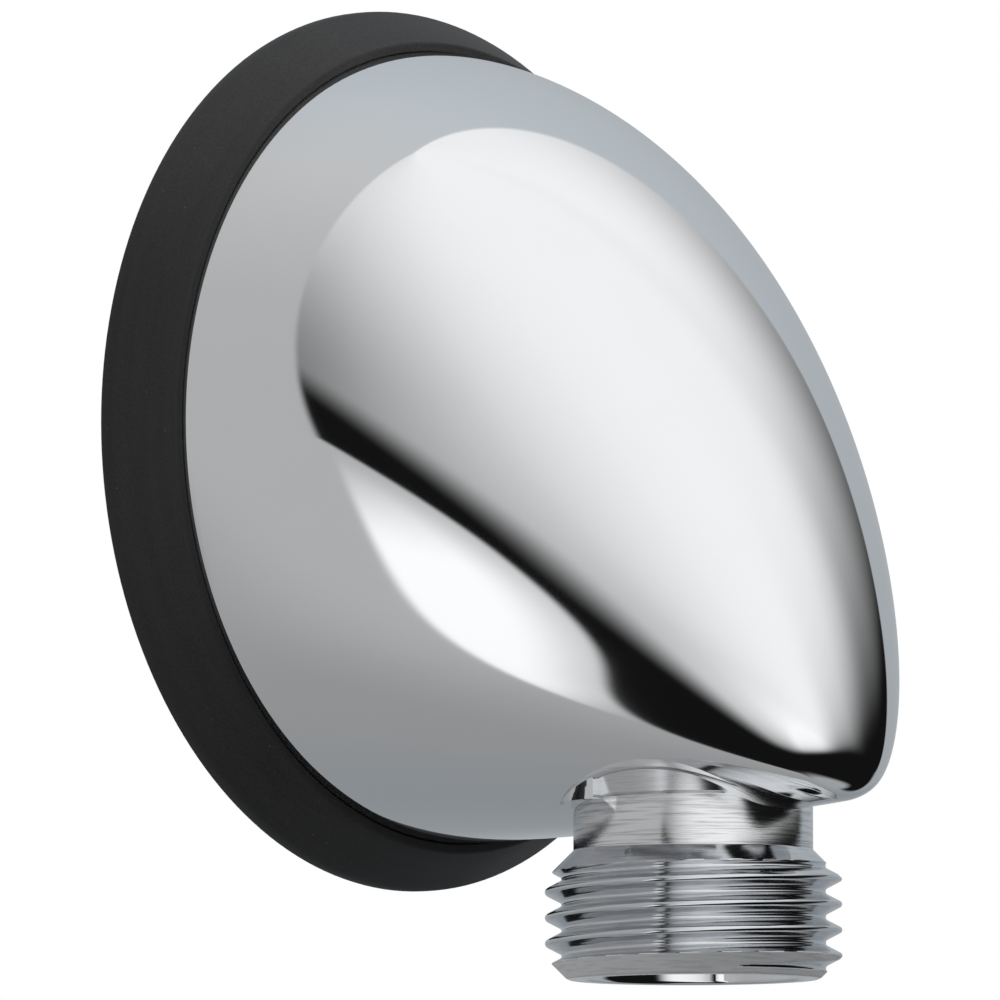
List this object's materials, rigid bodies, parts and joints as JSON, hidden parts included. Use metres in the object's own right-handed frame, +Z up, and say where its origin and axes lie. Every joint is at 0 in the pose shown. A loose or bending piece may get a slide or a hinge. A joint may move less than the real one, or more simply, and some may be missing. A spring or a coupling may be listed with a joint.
{
  "type": "shower wall bracket",
  "caption": "Chrome wall supply elbow: an off-centre dome on a tapered black rubber gasket, with a male hose thread pointing down from its nose.",
  "frame": {"origin": "on the inlet axis, in the plane of the wall", "axes": "+Z up, -Y out from the wall, +Y along the inlet towards the supply pipe"},
  "size_m": [0.0636, 0.044, 0.0708],
  "materials": {
    "chrome_plate": "mirror polished chrome plate over brass, with a fine turned collar",
    "black_rubber": "matte moulded rubber"
  },
  "bodies": {
    "root": {"elbow_body": "chrome_plate", "wall_gasket": "black_rubber"}
  },
  "joints": []
}
